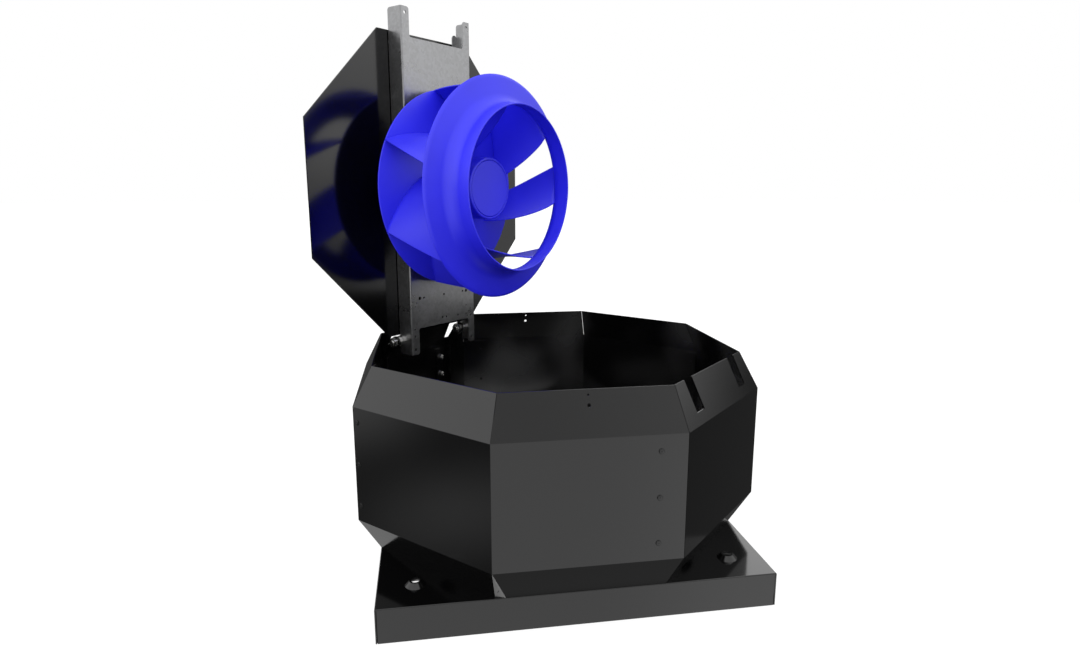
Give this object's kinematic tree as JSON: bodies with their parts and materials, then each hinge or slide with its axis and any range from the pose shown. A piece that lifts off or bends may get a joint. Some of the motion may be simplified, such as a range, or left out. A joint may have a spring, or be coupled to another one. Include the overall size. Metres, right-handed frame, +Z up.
{
  "type": "roof fan",
  "caption": "Roof exhaust fan: octagonal black casing on a square base, hinged lid carrying a motor beam and a shrouded mixed-flow impeller.",
  "frame": {"origin": "centre of the base plate's underside, where it sits on the roof curb", "axes": "+Z points up out of the roof; X and Y run along the sides of the square base; the hinge pins lie level along +X+Y, on the -X+Y side"},
  "size_m": [0.7288, 0.7304, 0.9339],
  "materials": {
    "base_paint": "black powder coat, semi-gloss",
    "cone_steel": "black powder coat",
    "casing_paint": "black powder coat, gloss",
    "lid_paint": "black powder coat, high gloss",
    "rivet_paint": "painted rivet",
    "rivet_steel": "bright rivet",
    "zinc": "zinc plated",
    "galvanised": "galvanised sheet with fine spangle",
    "buffer_rubber": "matt rubber",
    "cast_aluminium": "die cast",
    "core_steel": "laminated sheet",
    "copper": "enamelled winding wire",
    "bearing_steel": "ground",
    "bell_paint": "black paint",
    "impeller_blue": "moulded plastic, semi-gloss"
  },
  "bodies": {
    "casing": {"base_plate": "base_paint", "inlet_cone": "cone_steel", "inlet_cone_rivets": "rivet_steel", "casing_panel_back": "casing_paint", "casing_panel_left": "casing_paint", "casing_panel_front": "casing_paint", "casing_panel_right": "casing_paint", "corner_strips": "casing_paint", "casing_rivets": "rivet_paint", "foot_rivets": "rivet_steel", "hinge_bracket_left": "casing_paint", "hinge_bracket_right": "casing_paint", "hinge_bracket_bolts": "zinc", "hinge_bracket_nuts": "zinc", "hinge_bolts": "zinc", "hinge_bushes": "zinc", "hinge_nuts": "zinc", "rest_bracket_left": "casing_paint", "rest_bracket_right": "casing_paint", "rest_buffers": "buffer_rubber"},
    "lid_frame": {"motor_beam": "galvanised", "lid": "lid_paint", "lid_bolts": "zinc", "lid_spacers": "zinc", "lid_nuts": "zinc", "motor_flange": "cast_aluminium", "motor_screws": "zinc", "stator_core": "core_steel", "stator_winding": "copper", "bearing_front": "bearing_steel", "bearing_rear": "bearing_steel"},
    "rotor": {"rotor_bell": "bell_paint", "motor_shaft": "bearing_steel", "impeller_hub": "impeller_blue", "impeller_screws": "zinc", "hub_cap": "impeller_blue", "impeller_shroud": "impeller_blue", "impeller_blades": "impeller_blue"}
  },
  "joints": [
    {"name": "lid_hinge", "type": "hinge", "parent": "casing", "child": "lid_frame", "pos_m": [-0.20223, 0.20223, 0.3374], "axis": [0.7071, 0.7071, 0], "range_deg": [0, 90]},
    {"name": "impeller_spin", "type": "hinge", "parent": "lid_frame", "child": "rotor", "pos_m": [0, 0, 0.6234], "axis": [0.7071, -0.7071, 0], "continuous": true}
  ]
}
